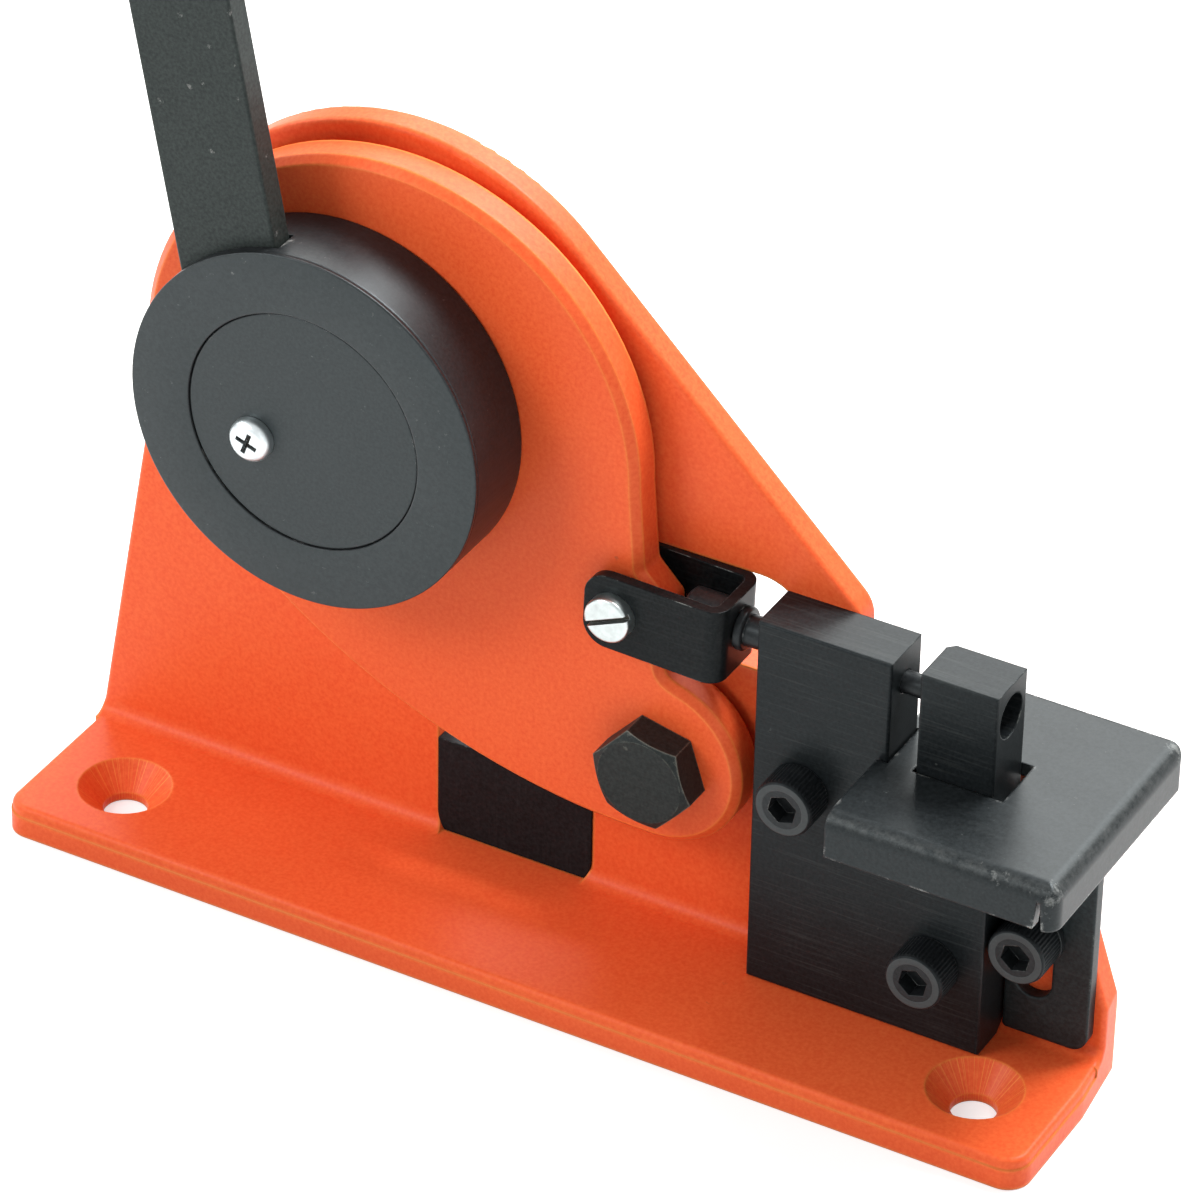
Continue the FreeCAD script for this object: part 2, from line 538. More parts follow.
def base_casting():
    half = FLANGE_END_X
    top_z = FLANGE_THICKNESS
    # An L section along the base, then cut to its outline from above and from the front.
    section = [(-FLANGE_FRONT, 0, 0), (WEB_BACK_Y, 0, 0), (WEB_BACK_Y, WEB_CROWN_PEAK_Z, 0)]
    section += [(WEB_FACE_Y, WEB_CROWN_PEAK_Z, 0), (WEB_FACE_Y, top_z, WEB_FOOT_FILLET)]
    section += [(-FLANGE_FRONT, top_z, 0)]
    front_view = plate_y(web_outline(), -FLANGE_FRONT, WEB_BACK_Y)
    front_view = front_view.fuse(box(-half, half, -FLANGE_FRONT, WEB_BACK_Y, 0, top_z))
    body = plate_x(rounded_edges(section), -half, half)
    body = body.common(flange_plan(0.0, 0, WEB_CROWN_PEAK_Z)).common(front_view)
    body = body.removeSplitter()

    def rim(e):
        low, high = sorted((e.BoundBox.ZMin, e.BoundBox.ZMax))
        above = low > top_z / 2 and high > top_z + WEB_FOOT_FILLET + 1
        return above and (lies_at_y(e, WEB_FACE_Y) or lies_at_y(e, WEB_BACK_Y))

    body = soften(body, CASTING_EDGE_R, rim).cut(flange_rim_cut())
    for side in (-1, 1):
        x = side * (half - BENCH_HOLE_INSET)
        body = body.cut(rod_z(x, 0, BENCH_HOLE_D, -1, top_z + 1))
        depth = (BENCH_COUNTERSINK_D - BENCH_HOLE_D) / 2
        sink = Part.makeCone(BENCH_HOLE_D / 2, BENCH_COUNTERSINK_D / 2 + 0.5, depth + 0.5,
                             Vector(x, 0, top_z - depth), Vector(0, 0, 1))
        body = body.cut(sink)
    through = (WEB_FACE_Y - 1, WEB_BACK_Y + 1)
    body = body.cut(rod_y(PIVOT_X, PIVOT_Z, SHAFT_SPIGOT_D + 2 * THREAD, *through))
    body = body.cut(rod_y(ARM_BOLT_X, ARM_BOLT_Z, BOLT_D + 2 * RUNNING, *through))
    for x, z in ((BLOCK_SCREW_1_X, BLOCK_SCREW_1_Z), (BLOCK_SCREW_2_X, BLOCK_SCREW_2_Z),
                 (TABLE_SCREW_X, TABLE_SCREW_Z)):
        body = body.cut(rod_y(x, z, CAP_SCREW_D + 2 * THREAD, *through))
    end_r = WEB_WINDOW_HEIGHT / 2
    body = body.cut(slot_y(WEB_WINDOW_LEFT_X + end_r, WEB_WINDOW_Z, WEB_WINDOW_RIGHT_X - end_r,
                           WEB_WINDOW_Z, WEB_WINDOW_HEIGHT, *through))
    # The lower blade stands in a pocket in the flange, in a window through the web.
    pocket_front = SHEAR_PLANE_Y - BLADE_SIDE_CLEARANCE
    window = plate_y(blade_window_outline(0.0, BLADE_WINDOW_TOP_Z), pocket_front, WEB_BACK_Y + 1)
    fillet_front = WEB_FACE_Y - WEB_FOOT_FILLET - 0.5
    foot_cut = window.copy()
    foot_cut.translate(Vector(0, fillet_front - pocket_front, 0))
    foot_cut = foot_cut.common(box(-half, half, fillet_front, WEB_FACE_Y, top_z, PIVOT_Z))
    body = body.cut(window).cut(foot_cut)
    for x in spring_pin_places():
        body = body.cut(rod_z(x, spring_pin_y(), SPRING_PIN_D + 2 * THREAD, -1, top_z))
    return body.removeSplitter()


def blade_window_outline(inset, top_z):
    left = BLADE_WINDOW_LEFT_X + inset
    right = BLADE_WINDOW_RIGHT_X - inset
    floor = BLADE_WINDOW_FLOOR_Z + inset
    corners = [(left, floor, BLADE_WINDOW_CORNER_R - inset), (right, floor, BLADE_WINDOW_CORNER_R - inset)]
    corners += [(right, top_z, 0.0), (left, top_z, 0.0)]
    return rounded_edges(corners)


# ------------------------------------------------------------- shear blades
def spring_pin_places():
    middle = (BLADE_WINDOW_LEFT_X + BLADE_WINDOW_RIGHT_X) / 2
    return [middle - SPRING_PIN_SPACING / 2, middle + SPRING_PIN_SPACING / 2]


def spring_pin_y():
    return (SHEAR_PLANE_Y + WEB_BACK_Y) / 2


def lower_blade():
    outline = blade_window_outline(BLADE_SIDE_CLEARANCE, LOWER_BLADE_TOP_Z)
    blade = plate_y(outline, SHEAR_PLANE_Y, WEB_BACK_Y + LOWER_BLADE_BACK_OVERHANG)
    # Behind the flange the blade would hang over its edge, so it is cut back there.
    behind_y = WEB_BACK_Y + LOWER_BLADE_BACK_OVERHANG + 1
    ends = (BLADE_WINDOW_LEFT_X, BLADE_WINDOW_RIGHT_X)
    blade = blade.cut(box(*ends, WEB_BACK_Y, behind_y, 0, FLANGE_THICKNESS))
    hole_top = SPRING_PIN_RECESS + SPRING_PIN_LENGTH + SPRING_PIN_HOLE_SPARE
    for x in spring_pin_places():
        blade = blade.cut(rod_z(x, spring_pin_y(), SPRING_PIN_D + 2 * THREAD, -1, hole_top))
    return blade


def lower_blade_pins():
    pins = []
    y = spring_pin_y()
    end = SPRING_PIN_RECESS + SPRING_PIN_LENGTH
    half_slit = SPRING_PIN_SLIT / 2
    for x in spring_pin_places():
        pin = rod_z(x, y, SPRING_PIN_D, SPRING_PIN_RECESS, end)
        pin = pin.cut(rod_z(x, y, SPRING_PIN_D - 2 * SPRING_PIN_WALL, 0, end + 1))
        pins.append(pin.cut(box(x - half_slit, x + half_slit, y, y + SPRING_PIN_D, 0, end + 1)))
    return Part.Compound(pins)


def upper_blade_place(shape):
    """From blade axes (cutting edge on X, right end at 0) to its place on the arm."""
    shape.rotate(Vector(0, 0, 0), Vector(0, 1, 0), UPPER_BLADE_SLOPE)
    shape.translate(Vector(UPPER_BLADE_CORNER_X, 0, UPPER_BLADE_EDGE_Z))
    return shape


def upper_blade_back_y():
    return SHEAR_PLANE_Y - SHEAR_CLEARANCE


def upper_blade_blank(grow, y0, y1):
    blank = box(-UPPER_BLADE_LENGTH - grow, grow, y0, y1, -grow * 50, UPPER_BLADE_HEIGHT + grow)
    return upper_blade_place(blank)


def blade_screw_places():
    middle = -UPPER_BLADE_LENGTH / 2
    return [middle - BLADE_SCREW_SPACING / 2, middle + BLADE_SCREW_SPACING / 2]


def upper_blade():
    back = upper_blade_back_y()
    front = back - UPPER_BLADE_THICKNESS
    blade = upper_blade_blank(0.0, front, back)
    sink = (BLADE_SCREW_HEAD_D - BLADE_SCREW_D) / 2
    for x in blade_screw_places():
        z = BLADE_SCREW_RISE
        hole = rod_y(x, z, BLADE_SCREW_D + 2 * SCREW_HOLE, front - 1, back + 1)
        hole = hole.fuse(cone_y(x, z, BLADE_SCREW_D, BLADE_SCREW_HEAD_D + 2 * THREAD, back - sink, back))
        blade = blade.cut(upper_blade_place(hole))
    return blade


def upper_blade_screws():
    blade_back = upper_blade_back_y()
    back = blade_back - BLADE_SCREW_RECESS
    head_d = BLADE_SCREW_HEAD_D - 2 * BLADE_SCREW_RECESS
    neck = blade_back - (BLADE_SCREW_HEAD_D - BLADE_SCREW_D) / 2
    tip = ARM_FACE_Y + BLADE_SCREW_TIP_WALL
    screws = []
    for x in blade_screw_places():
        z = BLADE_SCREW_RISE
        screw = rod_y(x, z, BLADE_SCREW_D, tip, neck)
        screw = screw.fuse(cone_y(x, z, BLADE_SCREW_D, head_d, neck, back))
        socket = hexagon_y(x, z, BLADE_SOCKET_AF, back - BLADE_SOCKET_DEPTH, back + 1)
        screws.append(upper_blade_place(screw.cut(socket)))
    return Part.Compound(screws)


# ------------------------------------------------------------- swing arm
def arm_outline():
    """Rim round the hub, lug for the clevis, lobe round the bolt, long lower edge."""
    rim = Vector(ARM_RIM_X, ARM_RIM_Z, 0)
    lobe = Vector(ARM_BOLT_X + ARM_LOBE_SHIFT_X, ARM_BOLT_Z + ARM_LOBE_SHIFT_Z, 0)
    apart = (lobe - rim).Length
    along = (lobe - rim).normalize()
    across = Vector(-along.y, along.x, 0)
    to_rim = ARM_LOWER_EDGE_R - ARM_RIM_R
    to_lobe = ARM_LOWER_EDGE_R - ARM_LOBE_R
    run = (apart ** 2 + to_rim ** 2 - to_lobe ** 2) / (2 * apart)
    rise = math.sqrt(to_rim ** 2 - run ** 2)
    edge_centre = rim + along * run + across * rise
    rim_end = rim + (rim - edge_centre).normalize() * ARM_RIM_R
    lobe_end = lobe + (lobe - edge_centre).normalize() * ARM_LOBE_R
    between = (rim_end + lobe_end) * 0.5 - edge_centre
    edge_middle = edge_centre + between.normalize() * ARM_LOWER_EDGE_R
    rim_start = rim + Vector(ARM_RIM_R, 0, 0)
    rim_middle = rim + Vector(-0.6, 0.8, 0) * ARM_RIM_R
    lobe_angle = math.radians(ARM_LOBE_START)
    lobe_start = lobe + Vector(math.cos(lobe_angle), math.sin(lobe_angle), 0) * ARM_LOBE_R
    lobe_side = lobe + Vector(1, 0, 0) * ARM_LOBE_R
    lug_x = CLEVIS_PIN_X + ARM_LUG_REACH
    corners = [(rim_start.x, rim_start.y, 0)]
    corners += [(ARM_RIM_X + ARM_RIM_R + ARM_RIM_END_X, CLEVIS_PIN_Z + ARM_LUG_TOP, ARM_LUG_R)]
    corners += [(lug_x, CLEVIS_PIN_Z + ARM_LUG_TIP_TOP, ARM_LUG_R)]
    corners += [(lug_x, CLEVIS_PIN_Z - ARM_LUG_TIP_LOW, ARM_WAIST_R)]
    corners += [(lobe_start.x - ARM_WAIST_BACK, lobe_start.y + ARM_WAIST_RISE, ARM_WAIST_R)]
    corners += [(lobe_start.x, lobe_start.y, 0)]
    edges = rounded_edges(corners, closed=False)
    edges.append(Part.Arc(lobe_start, lobe_side, lobe_end).toShape())
    edges.append(Part.Arc(lobe_end, edge_middle, rim_end).toShape())
    edges.append(Part.Arc(rim_end, rim_middle, rim_start).toShape())
    return edges


def swing_arm():
    arm = plate_y(arm_outline(), ARM_FACE_Y, ARM_BACK_Y)
    arm = arm.makeChamfer(ARM_RIM_BEVEL, [e for e in arm.Edges if lies_at_y(e, ARM_FACE_Y)])
    # The eccentric works in a slot that lies along the line to the arm bolt.
    travel = [bolt_distance(eccentric_centre(t)) for t in range(0, int(LEVER_TRAVEL) + 1)]
    rest = bolt_distance((HUB_X, HUB_Z))
    toward = ((ARM_BOLT_X - HUB_X) / rest, (ARM_BOLT_Z - HUB_Z) / rest)
    near = rest - min(travel)
    far = rest - max(travel)
    width = 2 * (ECCENTRIC_R + ECCENTRIC_SLOT_CLEARANCE)
    arm = arm.cut(slot_y(HUB_X + toward[0] * far, HUB_Z + toward[1] * far,
                         HUB_X + toward[0] * near, HUB_Z + toward[1] * near,
                         width, ARM_FACE_Y - 1, ARM_BACK_Y + 1))
    arm = arm.cut(rod_y(ARM_BOLT_X, ARM_BOLT_Z, BUSH_D + 2 * RUNNING, ARM_FACE_Y - 1, ARM_BACK_Y + 1))
    arm = arm.cut(rod_y(CLEVIS_PIN_X, CLEVIS_PIN_Z, CLEVIS_SCREW_D + 2 * RUNNING,
                        ARM_FACE_Y - 1, ARM_BACK_Y + 1))
    pocket_front = upper_blade_back_y() - UPPER_BLADE_THICKNESS
    arm = arm.cut(upper_blade_blank(BLADE_SIDE_CLEARANCE, pocket_front, ARM_BACK_Y + 1))
    hole_front = ARM_FACE_Y + BLADE_SCREW_TIP_WALL - BLADE_SCREW_HOLE_SPARE
    for x in blade_screw_places():
        hole = rod_y(x, BLADE_SCREW_RISE, BLADE_SCREW_D + 2 * THREAD, hole_front, ARM_BACK_Y)
        arm = arm.cut(upper_blade_place(hole))
    return arm.removeSplitter()


# ------------------------------------------------------------- lever, hub and eccentric
def lever_place(shape):
    """From lever axes (bar along Z from the pivot) to the lever's place."""
    shape.rotate(Vector(0, 0, 0), Vector(0, 1, 0), -LEVER_LEAN)
    shape.translate(Vector(PIVOT_X, 0, PIVOT_Z))
    return shape


def lever_slot(side_clearance):
    """Room for the bar in the hub or the eccentric."""
    half = LEVER_WIDTH / 2 + side_clearance
    room = box(-half, half, LEVER_FACE_Y - RUNNING, LEVER_BACK_Y + RUNNING, LEVER_SEAT, 2 * HUB_R)
    return lever_place(room)


def lever_bar():
    half = LEVER_WIDTH / 2
    corners = [(-half, LEVER_SEAT, LEVER_SEAT_CORNER_R), (half, LEVER_SEAT, LEVER_SEAT_CORNER_R)]
    corners += [(half, LEVER_LENGTH, LEVER_CORNER_R), (-half, LEVER_LENGTH, LEVER_CORNER_R)]
    bar = plate_y(rounded_edges(corners), LEVER_FACE_Y, LEVER_BACK_Y)
    ends = (LEVER_FACE_Y, LEVER_BACK_Y)
    bar = soften(bar, LEVER_EDGE_R, lambda e: any(lies_at_y(e, y) for y in ends) and e.Length > LEVER_WIDTH)
    pin_hole = rod_y(0, LEVER_PIN_REACH, LEVER_PIN_D + 2 * THREAD, LEVER_FACE_Y - 1, LEVER_BACK_Y + 1)
    return lever_place(bar.cut(pin_hole))


def lever_pin():
    pin = rod_y(0, LEVER_PIN_REACH, LEVER_PIN_D, LEVER_FACE_Y + FACE, HUB_BACK_Y - LEVER_PIN_RECESS)
    pin = pin.cut(rod_y(0, LEVER_PIN_REACH, LEVER_PIN_D - 2 * LEVER_PIN_WALL, LEVER_FACE_Y, HUB_BACK_Y))
    half = LEVER_PIN_SLIT / 2
    slit = box(-half, half, LEVER_FACE_Y, HUB_BACK_Y, LEVER_PIN_REACH, LEVER_PIN_REACH + LEVER_PIN_D)
    return lever_place(pin.cut(slit))


def lever_hub():
    hub = rod_y(HUB_X, HUB_Z, 2 * HUB_R, HUB_FACE_Y, HUB_BACK_Y)
    hub = soften(hub, HUB_EDGE_R, lambda e: lies_at_y(e, HUB_FACE_Y))
    hub = hub.cut(rod_y(HUB_X, HUB_Z, 2 * (ECCENTRIC_R + THREAD), HUB_FACE_Y - 1, HUB_BACK_Y + 1))
    hub = hub.cut(lever_slot(LEVER_HUB_SLOT_CLEARANCE))
    pin_hole = rod_y(0, LEVER_PIN_REACH, LEVER_PIN_D + 2 * THREAD, LEVER_BACK_Y, HUB_BACK_Y + 1)
    return hub.cut(lever_place(pin_hole)).removeSplitter()


def eccentric():
    back = WEB_FACE_Y - ECCENTRIC_TO_WEB_GAP
    core = rod_y(HUB_X, HUB_Z, 2 * ECCENTRIC_R, HUB_FACE_Y, back)
    core = core.makeChamfer(ECCENTRIC_CHAMFER, [e for e in core.Edges if lies_at_y(e, HUB_FACE_Y)])
    bore_front = HUB_FACE_Y + SHAFT_NOSE_LENGTH
    core = core.cut(rod_y(PIVOT_X, PIVOT_Z, SHAFT_D + 2 * RUNNING, bore_front, back + 1))
    core = core.cut(rod_y(PIVOT_X, PIVOT_Z, SHAFT_NOSE_D + 2 * RUNNING, HUB_FACE_Y - 1, bore_front + 1))
    core = core.cut(lever_slot(RUNNING))
    pin_hole = rod_y(0, LEVER_PIN_REACH, LEVER_PIN_D + 2 * THREAD, LEVER_BACK_Y, HUB_BACK_Y)
    return core.cut(lever_place(pin_hole)).removeSplitter()


# ------------------------------------------------------------- pivot shaft
def shaft_nose_y():
    return HUB_FACE_Y - FACE


def pivot_shaft():
    shoulder = HUB_FACE_Y + SHAFT_NOSE_LENGTH + FACE
    tail = WEB_BACK_Y + SHAFT_WASHER_THICKNESS + SHAFT_NUT_HEIGHT + THREAD_BEYOND_NUT
    shaft = rod_y(PIVOT_X, PIVOT_Z, SHAFT_D, shoulder, WEB_FACE_Y)
    shaft = shaft.fuse(rod_y(PIVOT_X, PIVOT_Z, SHAFT_NOSE_D, shaft_nose_y(), shoulder + 1))
    shaft = shaft.fuse(rod_y(PIVOT_X, PIVOT_Z, SHAFT_SPIGOT_D, WEB_FACE_Y - 1, tail))
    hole = rod_y(PIVOT_X, PIVOT_Z, PIVOT_SCREW_D + 2 * THREAD, shaft_nose_y() - 1,
                 shaft_nose_y() + PIVOT_SCREW_LENGTH + 2)
    shaft = shaft.cut(hole).removeSplitter()
    return shaft.makeChamfer(THREAD_END_CHAMFER, [e for e in shaft.Edges if lies_at_y(e, tail)])


def pivot_washer():
    return washer(PIVOT_X, PIVOT_Z, SHAFT_SPIGOT_D + 2 * SCREW_HOLE, SHAFT_WASHER_D,
                  WEB_BACK_Y, WEB_BACK_Y + SHAFT_WASHER_THICKNESS)


def pivot_nut():
    front = WEB_BACK_Y + SHAFT_WASHER_THICKNESS
    return nut(PIVOT_X, PIVOT_Z, SHAFT_SPIGOT_D, SHAFT_NUT_AF, front, front + SHAFT_NUT_HEIGHT)


def pivot_screw():
    seat = shaft_nose_y()
    front = seat - PIVOT_SCREW_HEAD_HEIGHT
    head = rod_y(PIVOT_X, PIVOT_Z, PIVOT_SCREW_HEAD_D, front, seat)
    head = soften(head, PIVOT_SCREW_DOME_R, lambda e: lies_at_y(e, front))
    screw = head.fuse(rod_y(PIVOT_X, PIVOT_Z, PIVOT_SCREW_D, seat - 1, seat + PIVOT_SCREW_LENGTH))
    reach = PIVOT_SCREW_CROSS_LENGTH / 2
    half = PIVOT_SCREW_CROSS_WIDTH / 2
    for angle in (0, 90):
        groove = box(-reach, reach, front - 1, front + PIVOT_SCREW_CROSS_DEPTH, -half, half)
        groove.rotate(Vector(0, 0, 0), Vector(0, 1, 0), angle + PIVOT_SCREW_CROSS_TURN)
        groove.translate(Vector(PIVOT_X, 0, PIVOT_Z))
        screw = screw.cut(groove)
    return screw.removeSplitter()


# ------------------------------------------------------------- arm bolt
def arm_bush():
    bush = rod_y(ARM_BOLT_X, ARM_BOLT_Z, BUSH_D, BUSH_FRONT_Y, WEB_FACE_Y)
    collar = rod_y(ARM_BOLT_X, ARM_BOLT_Z, BUSH_FLANGE_D, ARM_BACK_Y + FACE, WEB_FACE_Y)
    bore = rod_y(ARM_BOLT_X, ARM_BOLT_Z, BOLT_D + 2 * RUNNING, BUSH_FRONT_Y - 1, WEB_FACE_Y + 1)
    return bush.fuse(collar).cut(bore).removeSplitter()


def arm_bolt():
    front = BUSH_FRONT_Y - BOLT_HEAD_HEIGHT
    tail = WEB_BACK_Y + BOLT_WASHER_THICKNESS + BOLT_NUT_HEIGHT + THREAD_BEYOND_NUT
    head = chamfered_hexagon_y(ARM_BOLT_X, ARM_BOLT_Z, BOLT_HEAD_AF, front, BUSH_FRONT_Y,
                               BOLT_HEAD_TURN)
    shank = rod_y(ARM_BOLT_X, ARM_BOLT_Z, BOLT_D, BUSH_FRONT_Y - 1, tail)
    shank = shank.makeChamfer(THREAD_END_CHAMFER, [e for e in shank.Edges if lies_at_y(e, tail)])
    return head.fuse(shank).removeSplitter()


def arm_bolt_washer():
    return washer(ARM_BOLT_X, ARM_BOLT_Z, BOLT_D + 2 * SCREW_HOLE, BOLT_WASHER_D,
                  WEB_BACK_Y, WEB_BACK_Y + BOLT_WASHER_THICKNESS)


def arm_bolt_nut():
    front = WEB_BACK_Y + BOLT_WASHER_THICKNESS
    return nut(ARM_BOLT_X, ARM_BOLT_Z, BOLT_D, BOLT_NUT_AF, front, front + BOLT_NUT_HEIGHT)


# ------------------------------------------------------------- clevis
def clevis_place(shape):
    """Tilt about the clevis screw."""
    shape.rotate(Vector(CLEVIS_PIN_X, 0, CLEVIS_PIN_Z), Vector(0, 1, 0), CLEVIS_TILT)
    return shape


def clevis():
    """Strip bent to a U, ends rounded, with a hole for the screw and one for the punch."""
    left = CLEVIS_PIN_X - CLEVIS_TAIL
    inner_r = max(CLEVIS_BEND_R - CLEVIS_SHEET, 0.5)
    outer = [(left, CLEVIS_FACE_Y, 0), (CLEVIS_BASE_X, CLEVIS_FACE_Y, CLEVIS_BEND_R)]
    outer += [(CLEVIS_BASE_X, CLEVIS_BACK_Y, CLEVIS_BEND_R), (left, CLEVIS_BACK_Y, 0)]
    inner_x = CLEVIS_BASE_X - CLEVIS_SHEET
    inner = [(left - 1, CLEVIS_FACE_Y + CLEVIS_SHEET, 0), (inner_x, CLEVIS_FACE_Y + CLEVIS_SHEET, inner_r)]
    inner += [(inner_x, CLEVIS_BACK_Y - CLEVIS_SHEET, inner_r), (left - 1, CLEVIS_BACK_Y - CLEVIS_SHEET, 0)]
    low = CLEVIS_PIN_Z - CLEVIS_HEIGHT / 2
    high = CLEVIS_PIN_Z + CLEVIS_HEIGHT / 2
    strip = plate_z(rounded_edges(outer), low, high).cut(plate_z(rounded_edges(inner), low - 1, high + 1))
    side = [(left, low, CLEVIS_END_R), (CLEVIS_BASE_X + 1, low, 0)]
    side += [(CLEVIS_BASE_X + 1, high, 0), (left, high, CLEVIS_END_R)]
    strip = strip.common(plate_y(rounded_edges(side), CLEVIS_FACE_Y - 1, CLEVIS_BACK_Y + 1))
    hole = rod_y(CLEVIS_PIN_X, CLEVIS_PIN_Z, CLEVIS_SCREW_D + 2 * THREAD,
                 CLEVIS_FACE_Y - 1, CLEVIS_BACK_Y + 1)
    strip = clevis_place(strip.cut(hole))
    # The punch stays level while the clevis swings, so its hole is drawn out upwards.
    low_z = PUNCH_Z - CLEVIS_HOLE_PLAY
    high_z = PUNCH_Z + CLEVIS_HOLE_PLAY
    hole_d = PUNCH_TAIL_D + 2 * SCREW_HOLE
    ends = (inner_x - 1, CLEVIS_BASE_X + 1)
    tall = rod_x(WORK_Y, low_z, hole_d, *ends).fuse(rod_x(WORK_Y, high_z, hole_d, *ends))
    tall = tall.fuse(box(*ends, WORK_Y - hole_d / 2, WORK_Y + hole_d / 2, low_z, high_z))
    return strip.cut(tall).removeSplitter()


def clevis_screw():
    front = CLEVIS_FACE_Y - CLEVIS_SCREW_HEAD_HEIGHT
    tail = CLEVIS_BACK_Y + CLEVIS_NUT_HEIGHT + CLEVIS_SCREW_TAIL
    head = rod_y(CLEVIS_PIN_X, CLEVIS_PIN_Z, CLEVIS_SCREW_HEAD_D, front, CLEVIS_FACE_Y)
    head = soften(head, CLEVIS_SCREW_EDGE_R, lambda e: lies_at_y(e, front))
    screw = head.fuse(rod_y(CLEVIS_PIN_X, CLEVIS_PIN_Z, CLEVIS_SCREW_D, CLEVIS_FACE_Y - 1, tail))
    half = CLEVIS_SCREW_SLOT_WIDTH / 2
    reach = CLEVIS_SCREW_HEAD_D
    slot = box(-reach, reach, front - 1, front + CLEVIS_SCREW_SLOT_DEPTH, -half, half)
    slot.rotate(Vector(0, 0, 0), Vector(0, 1, 0), CLEVIS_SCREW_SLOT_TURN)
    slot.translate(Vector(CLEVIS_PIN_X, 0, CLEVIS_PIN_Z))
    return screw.cut(slot).removeSplitter()


def clevis_nut():
    return nut(CLEVIS_PIN_X, CLEVIS_PIN_Z, CLEVIS_SCREW_D, CLEVIS_NUT_AF,
               CLEVIS_BACK_Y, CLEVIS_BACK_Y + CLEVIS_NUT_HEIGHT)


# ------------------------------------------------------------- punch, block and die
def collar_x():
    """Left face of the punch's collar, against the clevis."""
    return CLEVIS_BASE_X + PUNCH_CLEVIS_GAP


def punch_tip_x():
    return GAP_RIGHT_X + PUNCH_ENTRY


def punch_nut_x():
    """Right face of the nut inside the clevis."""
    return CLEVIS_BASE_X - CLEVIS_SHEET - PUNCH_CLEVIS_GAP


def punch():
    start = punch_nut_x() - PUNCH_NUT_LENGTH - PUNCH_TAIL_BEYOND_NUT
    neck = punch_tip_x() - PUNCH_TIP_LENGTH
    collar_end = collar_x() + PUNCH_COLLAR_LENGTH
    body_r = PUNCH_BODY_D / 2
    tip_r = PUNCH_TIP_D / 2
    tail_r = PUNCH_TAIL_D / 2
    collar_r = PUNCH_COLLAR_D / 2
    end_cut = PUNCH_TAIL_CHAMFER
    collar_cut = PUNCH_COLLAR_CHAMFER
    profile = [(start, 0), (start, tail_r - end_cut), (start + end_cut, tail_r), (collar_x(), tail_r)]
    profile += [(collar_x(), collar_r), (collar_end - collar_cut, collar_r)]
    profile += [(collar_end, collar_r - collar_cut)]
    profile += [(collar_end, body_r), (neck - (body_r - tip_r), body_r), (neck, tip_r)]
    profile += [(punch_tip_x(), tip_r), (punch_tip_x(), 0)]
    return turned_x(profile, WORK_Y, PUNCH_Z)


def punch_nut():
    right = punch_nut_x()
    left = right - PUNCH_NUT_LENGTH
    bore_r = PUNCH_TAIL_D / 2 + THREAD
    outer_r = PUNCH_NUT_D / 2
    cut = PUNCH_TAIL_CHAMFER
    profile = [(left, bore_r), (left, outer_r - cut), (left + cut, outer_r), (right - cut, outer_r)]
    profile += [(right, outer_r - cut), (right, bore_r)]
    return turned_x(profile, WORK_Y, PUNCH_Z)


def punch_block():
    block = box(BLOCK_LEFT_X, BLOCK_RIGHT_X, BLOCK_FACE_Y, WEB_FACE_Y, BLOCK_FOOT_Z, BLOCK_TOP_Z)
    gap = box(GAP_LEFT_X, GAP_RIGHT_X, BLOCK_FACE_Y - 1, WEB_FACE_Y + 1, WORK_GAP_FLOOR_Z, BLOCK_TOP_Z + 1)
    block = block.cut(gap)

    def foot_edge(e):
        return lies_at_y(e, WEB_FACE_Y) and all(abs(v.Z - BLOCK_FOOT_Z) < 1e-4 for v in e.Vertexes)

    def post_corner(e):
        upright = abs(e.Vertexes[0].Z - e.Vertexes[-1].Z) > 10
        at_back = all(abs(v.Y - WEB_FACE_Y) < 1e-4 for v in e.Vertexes)
        at_gap = all(abs(v.X - GAP_RIGHT_X) < 1e-4 for v in e.Vertexes)
        return upright and at_back and at_gap

    foot_chamfer = WEB_FOOT_FILLET + FOOT_CLEARANCE
    block = block.makeChamfer(foot_chamfer, [e for e in block.Edges if foot_edge(e)])
    block = block.makeChamfer(DIE_POST_CORNER, [e for e in block.Edges if post_corner(e)])
    block = soften(block, BLOCK_EDGE_R, lambda e: lies_at_y(e, BLOCK_FACE_Y))
    neck = punch_tip_x() - PUNCH_TIP_LENGTH
    guide = rod_x(WORK_Y, PUNCH_Z, PUNCH_BODY_D + 2 * RUNNING, BLOCK_LEFT_X - 1, neck + 1)
    exit_hole = rod_x(WORK_Y, PUNCH_Z, PUNCH_TIP_D + 2 * DIE_CLEARANCE, neck, GAP_LEFT_X + 1)
    seat = rod_x(WORK_Y, PUNCH_Z, DIE_D + 2 * THREAD, GAP_RIGHT_X - 1, BLOCK_RIGHT_X + 1)
    block = block.cut(guide).cut(exit_hole).cut(seat)
    for x, z in ((BLOCK_SCREW_1_X, BLOCK_SCREW_1_Z), (BLOCK_SCREW_2_X, BLOCK_SCREW_2_Z)):
        block = block.cut(rod_y(x, z, CAP_SCREW_D + 2 * SCREW_HOLE, BLOCK_FACE_Y - 1, WEB_FACE_Y + 1))
    return block.removeSplitter()


def die_bush():
    left = GAP_RIGHT_X
    right = left + DIE_LENGTH
    hole_r = PUNCH_TIP_D / 2 + DIE_CLEARANCE
    outer_r = DIE_D / 2
    relief_r = hole_r + DIE_RELIEF
    land = left + DIE_LAND
    profile = [(left, hole_r), (left, outer_r), (right, outer_r), (right, relief_r), (land, relief_r)]
    profile += [(land, hole_r)]
    return turned_x(profile, WORK_Y, PUNCH_Z)


